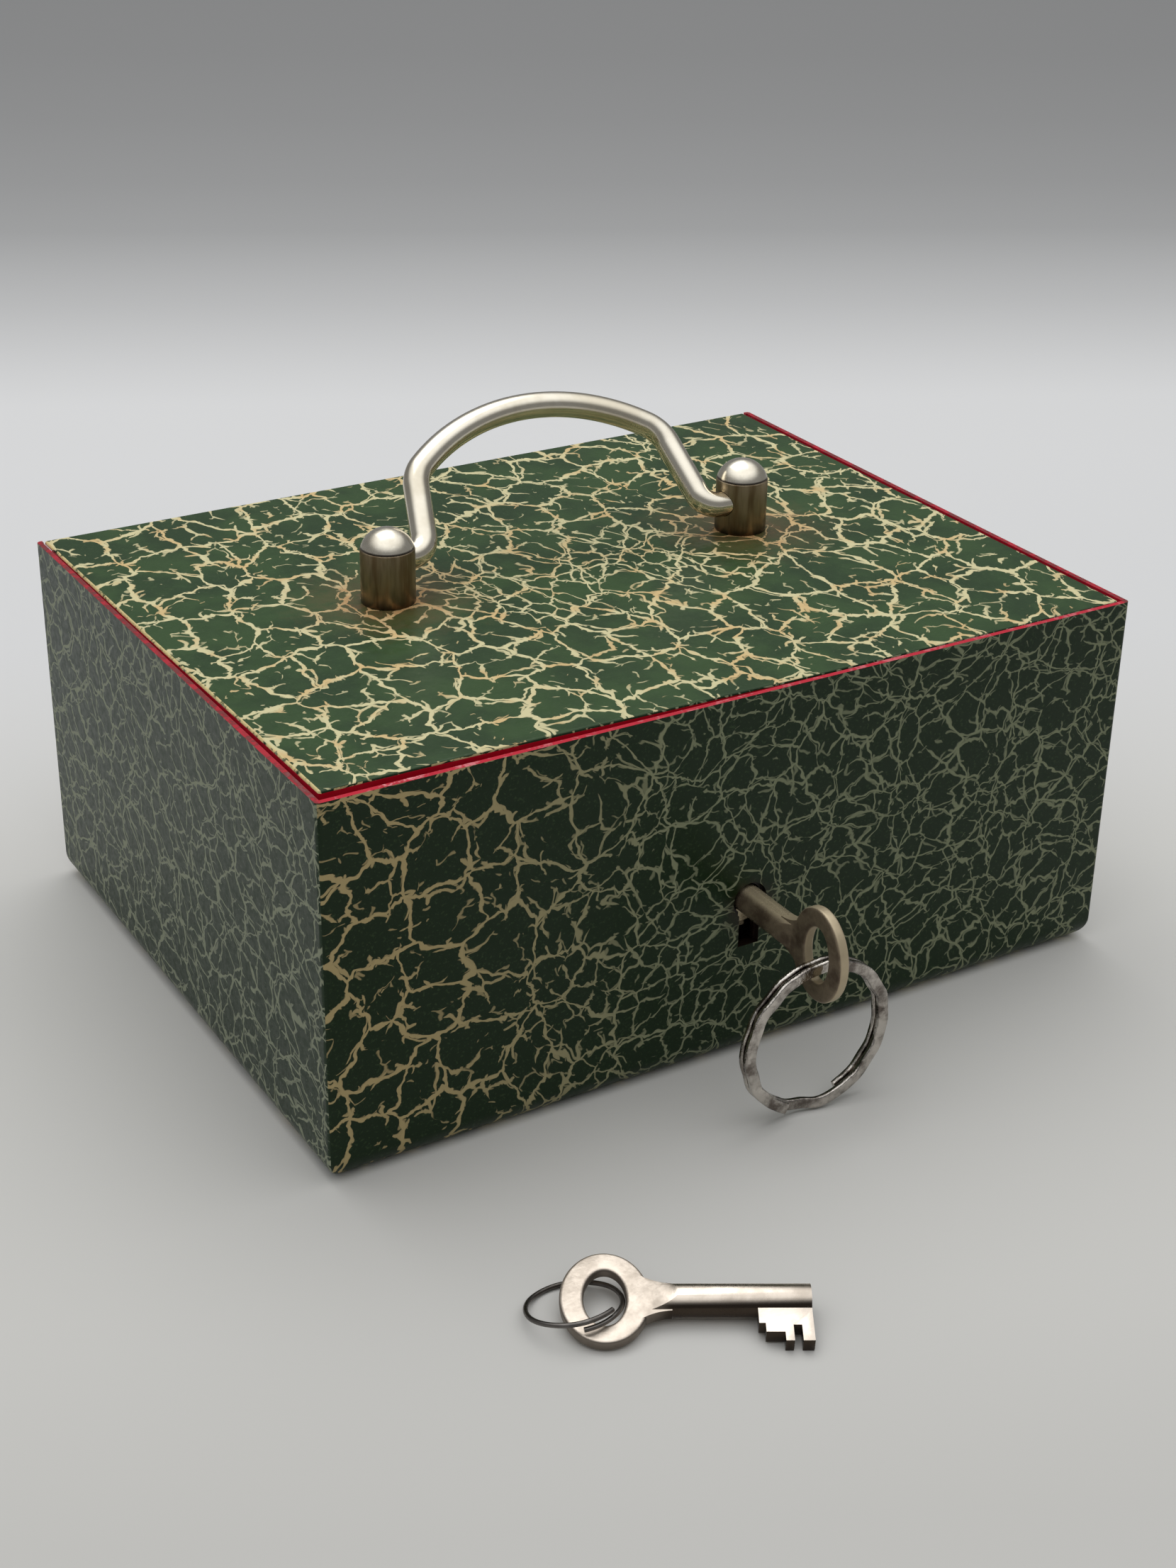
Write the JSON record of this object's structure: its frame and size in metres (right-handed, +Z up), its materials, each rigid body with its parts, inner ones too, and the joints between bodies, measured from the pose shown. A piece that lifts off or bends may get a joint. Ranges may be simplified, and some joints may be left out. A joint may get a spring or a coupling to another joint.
{
  "type": "metal valuables box",
  "caption": "Small lockable sheet-steel valuables box with an inset hinged lid, a bail handle on two domed posts, a lever lock with its pipe key and ring, and a spare key.",
  "frame": {"origin": "centre of the box's underside, on the surface that it stands on", "axes": "+X to the box's right seen from the front, -Y out of the front wall with the keyhole, +Z up"},
  "size_m": [0.2, 0.2408, 0.1206],
  "materials": {
    "green_enamel": "green over cream crazed paint, satin, worn cream at the edges",
    "red_lacquer": "gloss red lacquer",
    "bright_nickel": "warm worn nickel plate",
    "aged_nickel": "nickel plate, browned on the barrels and polished on the domes",
    "key_nickel": "cast and tumbled nickel-plated steel",
    "ring_steel": "worn spring steel",
    "spring_steel": "dark blued wire",
    "steel": "plain turned and stamped steel",
    "zinc_steel": "zinc-plated sheet",
    "brass": "stamped brass"
  },
  "bodies": {
    "box": {"body_shell": "green_enamel", "lid_rest_left": "red_lacquer", "lid_rest_right": "red_lacquer", "hinge_leaf_body": "red_lacquer", "hinge_pin": "steel", "lock_plate": "red_lacquer", "lock_case": "zinc_steel", "lock_screws": "steel", "ward_plate": "steel", "lever_post": "steel", "bolt_guides": "steel"},
    "lid": {"lid_panel": "green_enamel", "hinge_leaf_lid": "red_lacquer", "lock_strike": "red_lacquer", "handle_post_left": "aged_nickel", "handle_post_right": "aged_nickel", "post_washers": "steel"},
    "handle": {"handle_bail": "bright_nickel"},
    "bolt": {"lock_bolt": "steel", "bolt_stump": "steel"},
    "levers": {"lever_1": "brass", "lever_2": "brass", "lever_3": "brass", "lever_springs": "spring_steel"},
    "drill_pin": {"drill_pin": "steel"},
    "key": {"key": "key_nickel"},
    "key_ring": {"key_ring": "ring_steel"},
    "spare_key": {"spare_key": "key_nickel", "spare_key_ring": "spring_steel"}
  },
  "joints": [
    {"name": "lid_hinge", "type": "hinge", "parent": "box", "child": "lid", "pos_m": [0, 0.074, 0.0843], "axis": [-1, 0, 0], "range_deg": [0, 110]},
    {"name": "handle_swing", "type": "hinge", "parent": "lid", "child": "handle", "pos_m": [0.0024, 0.00483, 0.09518], "axis": [-0.9995, 0.0222, 0.0222], "range_deg": [-140, 50]},
    {"name": "key_turn", "type": "hinge", "parent": "box", "child": "drill_pin", "pos_m": [0, -0.0588, 0.0384], "axis": [0, 1, 0], "range_deg": [0, 360]},
    {"name": "key_withdraw", "type": "slide", "parent": "drill_pin", "child": "key", "axis": [0, -1, 0], "range_m": [0, 0.04]},
    {"name": "key_ring_swing", "type": "hinge", "parent": "key", "child": "key_ring", "pos_m": [0, -0.1011, 0.0357], "axis": [-1, 0, 0], "range_deg": [-30, 80]},
    {"name": "bolt_throw", "type": "slide", "parent": "box", "child": "bolt", "axis": [1, 0, 0], "range_m": [0, 0.006]},
    {"name": "lever_lift", "type": "hinge", "parent": "box", "child": "levers", "pos_m": [-0.034, -0.069, 0.052], "axis": [0, -1, 0], "range_deg": [0, 4], "stiffness_Nm_per_rad": 0.02, "springref_deg": -8.59},
    {"name": "spare_key_lift", "type": "slide", "parent": "box", "child": "spare_key", "axis": [0, 0, 1], "range_m": [0, 0.1]}
  ],
  "couplings": [
    {"joint": "bolt_throw", "follows": "key_turn", "m_per_rad": 0.00095493}
  ]
}
